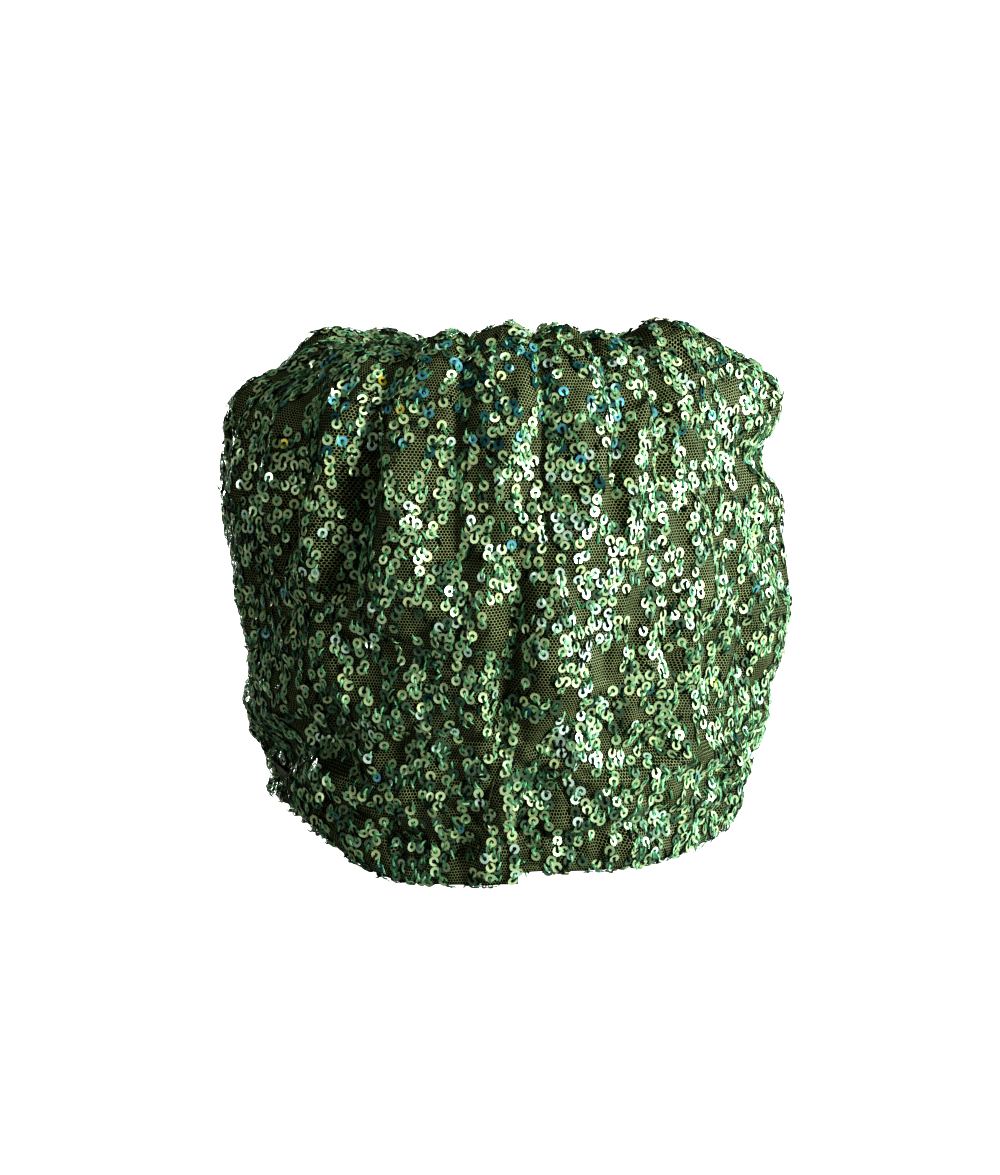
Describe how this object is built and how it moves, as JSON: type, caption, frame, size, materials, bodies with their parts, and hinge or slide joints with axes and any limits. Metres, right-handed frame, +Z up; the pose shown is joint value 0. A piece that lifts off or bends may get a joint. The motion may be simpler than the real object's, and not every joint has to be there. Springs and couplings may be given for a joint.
{
  "type": "sequinned costume cap",
  "caption": "Soft, puffed, brimless costume cap of sequinned net, gathered at the crown and open below for a head.",
  "frame": {"origin": "middle of the hem, on the plane that the cap stands on", "axes": "+Z up towards the crown; the front, with the lap at its middle, faces -Y; +X is the wearer's left"},
  "size_m": [0.188, 0.2225, 0.174],
  "materials": {
    "sequinned_net": "net with ring sequins",
    "backing_cloth": "matt",
    "wadding": "matt",
    "lining_cloth": "satin",
    "elastic": "matt",
    "sweatband_cloth": "ribbed",
    "thread": "matt",
    "label_tape": "satin",
    "label_thread": "matt"
  },
  "bodies": {
    "cap": {"left_outer_panel": "sequinned_net", "right_outer_panel": "sequinned_net", "backing_layer": "backing_cloth", "wadding_side": "wadding", "wadding_crown": "wadding", "lining_side": "lining_cloth", "lining_crown": "lining_cloth", "hem_elastic": "elastic", "sweatband": "sweatband_cloth", "crown_gather_thread": "thread", "crown_stay_disc": "lining_cloth", "crown_stitches": "thread", "hem_stitches": "thread", "sweatband_stitches": "thread", "back_seam_stitches": "thread", "front_tack_stitches": "thread"},
    "label": {"care_label": "label_tape", "label_stitches": "label_thread"}
  },
  "joints": [
    {"name": "label_flap", "type": "hinge", "parent": "cap", "child": "label", "pos_m": [0, 0.09932, 0.055], "axis": [-1, 0, 0], "range_deg": [0, 110]}
  ]
}
